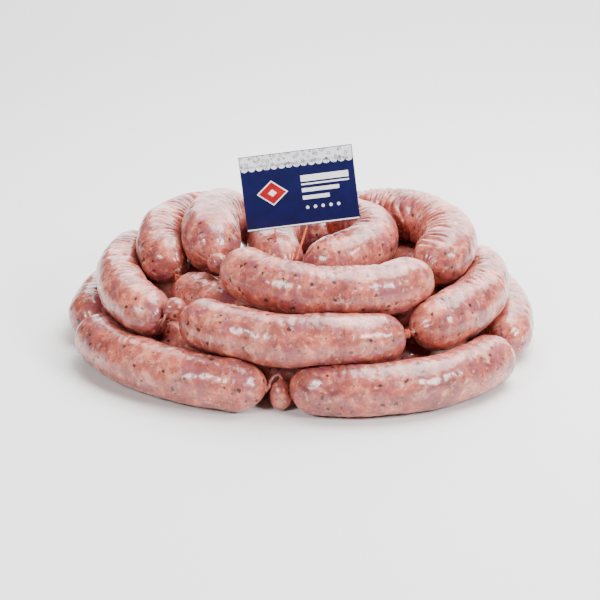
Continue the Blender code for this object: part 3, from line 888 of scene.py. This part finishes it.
def ink_shape(name, corners, size, place, lift=0, turned=False):
    """A printed shape: an even polygon, stretched to its size, as a film on the card's face.

    Its sides are level and upright unless it is turned on to a corner. Lift counts films under it.
    """
    bpy.ops.object.select_all(action="DESELECT")
    start = 0 if turned else math.pi / corners
    across = 1 if turned else math.cos(start)
    bpy.ops.mesh.primitive_cylinder_add(vertices=corners, radius=0.5 / across, depth=1)
    piece = bpy.context.object
    piece.name = piece.data.name = name
    piece.data.transform(Matrix.Rotation(start, 4, "Z"))
    piece.data.transform(Matrix.Diagonal((*size, INK, 1)))
    piece.data.transform(Matrix.Translation((*place, LABEL_SIZE.z / 2 + (lift + 0.5) * INK)))
    return piece


def print_on_card(inks):
    """A patterned band with a scalloped edge, a lozenge, bars and dots, on a navy field."""
    width, height = LABEL_SIZE.x - 2 * CARD_MARGIN, BAND_SHARE * LABEL_SIZE.y
    top = LABEL_SIZE.y / 2 - CARD_MARGIN
    shapes = {"band": [], "white": [], "red": []}
    shapes["band"].append(ink_shape("band", 4, (width, height), (0, top - height / 2)))
    step = width / SCALLOPS
    for n in range(SCALLOPS):
        place = (n + 0.5 - SCALLOPS / 2) * step, top - height
        shapes["band"].append(ink_shape(f"scallop_{n:02d}", 16, (step * 0.94, step * 0.8), place))
    shapes["white"].append(ink_shape("foot_edge", 4, (width, FOOT_EDGE), (0, FOOT_EDGE / 2 - top)))
    for name, ink, size, lift in LOZENGES:
        size = size * MM, 0.8 * size * MM
        shapes[ink].append(ink_shape(name, 4, size, LOZENGE_PLACE, lift, turned=True))
    for n, (length, thick, rise) in enumerate(BARS):
        place = BARS_LEFT + length * MM / 2, rise * MM
        shapes["white"].append(ink_shape(f"bar_{n}", 4, (length * MM, thick * MM), place))
    for n in range(DOTS):
        place = DOTS_LEFT + DOT_SPACING * n, DOTS_HEIGHT
        shapes["white"].append(ink_shape(f"dot_{n}", 20, (DOT_WIDTH, DOT_WIDTH), place))
    for ink, its_shapes in shapes.items():
        bpy.ops.object.select_all(action="DESELECT")
        for shape in its_shapes:
            shape.select_set(True)
        bpy.context.view_layer.objects.active = its_shapes[0]
        bpy.ops.object.join()
        piece = bpy.context.object
        piece.name = piece.data.name = f"print_{ink}"
        finish_card_piece(piece, inks[ink])


def make_label(inks):
    """A laminated card with rounded corners and a softened rim, and its print."""
    card = rounded_card("label", tuple(LABEL_SIZE), CARD_CORNER, CARD_RIM)
    finish_card_piece(card, inks["navy"])
    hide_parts("label_card")
    print_on_card(inks)


def main():
    """Dresses every CAD node in its own material. The white ply is stained by the orange one."""
    meat = raw_pork_in_hog_casing()
    casing = twisted_casing()
    plies = [
        cotton_ply("orange_cotton_ply", "#E4622A", "#A23C15"),
        cotton_ply("white_cotton_ply", "#F0C8A4", "#BC7C54"),
    ]
    inks = {
        "navy": laminated_print("navy_ink", "#090B46", "#07093C"),
        "white": laminated_print("white_ink", "#F4F4F6", "#E8E8EC"),
        "red": laminated_print("red_ink", "#B00A1A", "#980816"),
        "band": laminated_print("band_ink", "#ECECF0", "#DEDEE4", 3.0 * MM),
    }
    balls = [rings_of(node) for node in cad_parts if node.startswith("nub_")]
    ball_tips = np.array([rings[end, 0] for rings in balls for end in (0, -1)])
    for node in sorted(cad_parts):
        if node.startswith(("link_", "nub_")):
            make_link(node, meat)
        elif node.startswith("tie_"):
            path, length, to_ball = make_neck(node, casing, ball_tips)
            if not to_ball:
                make_thread(int(node[-2:]), path, length, plies)
        elif node.startswith("label_string"):
            make_string(node, plies)
    make_label(inks)


def facing_the_pile(place):
    """The turn of a lamp or a camera that looks at the pile from this place."""
    return (CAMERA_TARGET - place).to_track_quat("-Z", "Y").to_euler()


def studio():
    """A pale floor, soft lights overhead, behind, left and right, and the photograph's camera."""
    bpy.ops.object.select_all(action="DESELECT")
    bpy.ops.mesh.primitive_plane_add(size=FLOOR_WIDTH)
    floor = bpy.context.object
    floor.name = "floor"
    floor.data.materials.append(seamless_paper())
    world = bpy.data.worlds.new("studio")
    world.use_nodes = True
    sky = world.node_tree.nodes["Background"]
    sky.inputs["Color"].default_value = linear("#F7F8FA")
    sky.inputs["Strength"].default_value = WORLD_STRENGTH
    bpy.context.scene.world = world
    for name, place, width, watts in SOFTBOXES:
        light = bpy.data.lights.new(name, "AREA")
        light.size = width
        light.energy = watts
        lamp = bpy.data.objects.new(name, light)
        bpy.context.scene.collection.objects.link(lamp)
        lamp.location = place
        lamp.rotation_euler = facing_the_pile(lamp.location)
    lens = bpy.data.cameras.new("camera")
    lens.lens = LENS
    lens.sensor_width = SENSOR_WIDTH
    camera = bpy.data.objects.new("camera", lens)
    bpy.context.scene.collection.objects.link(camera)
    away = Vector((0, -math.cos(CAMERA_ELEVATION), math.sin(CAMERA_ELEVATION)))
    camera.location = CAMERA_TARGET + CAMERA_DISTANCE * away
    camera.rotation_euler = facing_the_pile(camera.location)
    bpy.context.scene.camera = camera


main()
studio()
